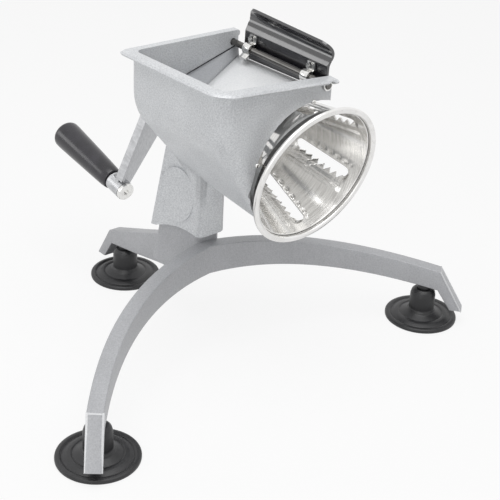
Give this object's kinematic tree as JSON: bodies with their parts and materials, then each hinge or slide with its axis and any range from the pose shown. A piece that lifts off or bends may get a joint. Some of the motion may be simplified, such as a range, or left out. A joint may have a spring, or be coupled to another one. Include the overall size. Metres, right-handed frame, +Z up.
{
  "type": "vegetable shredder",
  "caption": "Hand-cranked vegetable shredder: cast hopper with a slotted steel cone and hinged hand guard, on a tripod base with suction feet.",
  "frame": {"origin": "on the worktop, under the middle of the whole shredder's box", "axes": "+X towards the hand guard's side, +Y towards the crank, +Z up"},
  "size_m": [0.385, 0.3184, 0.2555],
  "materials": {
    "hopper_paint": "silver-grey hammered paint",
    "base_paint": "satin grey paint",
    "polished_steel": "polished stainless steel",
    "plated_steel": "bright plating",
    "cast_aluminium": "satin",
    "bronze": "machined",
    "black_plastic": "glossy",
    "rubber": "satin"
  },
  "bodies": {
    "stand": {"hopper_body": "hopper_paint", "tripod_base": "base_paint", "column_bolt": "plated_steel", "column_washer": "plated_steel", "left_suction_cup": "rubber", "right_suction_cup": "rubber", "rear_suction_cup": "rubber", "left_foot_stud": "plated_steel", "right_foot_stud": "plated_steel", "rear_foot_stud": "plated_steel", "front_bush": "bronze", "rear_bush": "bronze", "hinge_rod": "polished_steel", "rod_cap_front": "plated_steel", "rod_cap_rear": "plated_steel"},
    "crank": {"drive_shaft": "plated_steel", "drive_hub": "cast_aluminium", "crank_arm": "cast_aluminium", "crank_washer": "plated_steel", "crank_nut": "plated_steel", "handle_spindle": "plated_steel", "grip_washer": "plated_steel", "spindle_nut": "plated_steel"},
    "cone": {"shredding_cone": "polished_steel", "cone_lock_nut": "plated_steel"},
    "grip": {"handle_grip": "black_plastic", "grip_end_cap": "black_plastic"},
    "guard": {"hand_guard": "black_plastic", "front_hinge_clip": "plated_steel", "rear_hinge_clip": "plated_steel", "front_clip_screw": "plated_steel", "rear_clip_screw": "plated_steel", "front_clip_nut": "plated_steel", "rear_clip_nut": "plated_steel"}
  },
  "joints": [
    {"name": "crank_turn", "type": "hinge", "parent": "stand", "child": "crank", "pos_m": [0.036, -0.12069, 0.1569], "axis": [0, 0.9751, 0.2215], "continuous": true},
    {"name": "cone_pull", "type": "slide", "parent": "crank", "child": "cone", "axis": [0, -0.9751, -0.2215], "range_m": [0, 0.12]},
    {"name": "grip_spin", "type": "hinge", "parent": "crank", "child": "grip", "pos_m": [-0.00629, -0.09629, 0.04947], "axis": [0, 0.9751, 0.2215], "continuous": true},
    {"name": "guard_swing", "type": "hinge", "parent": "stand", "child": "guard", "pos_m": [0.047, -0.01619, 0.226], "axis": [0, 0.9996, 0.0297], "range_deg": [-90, 0]}
  ]
}
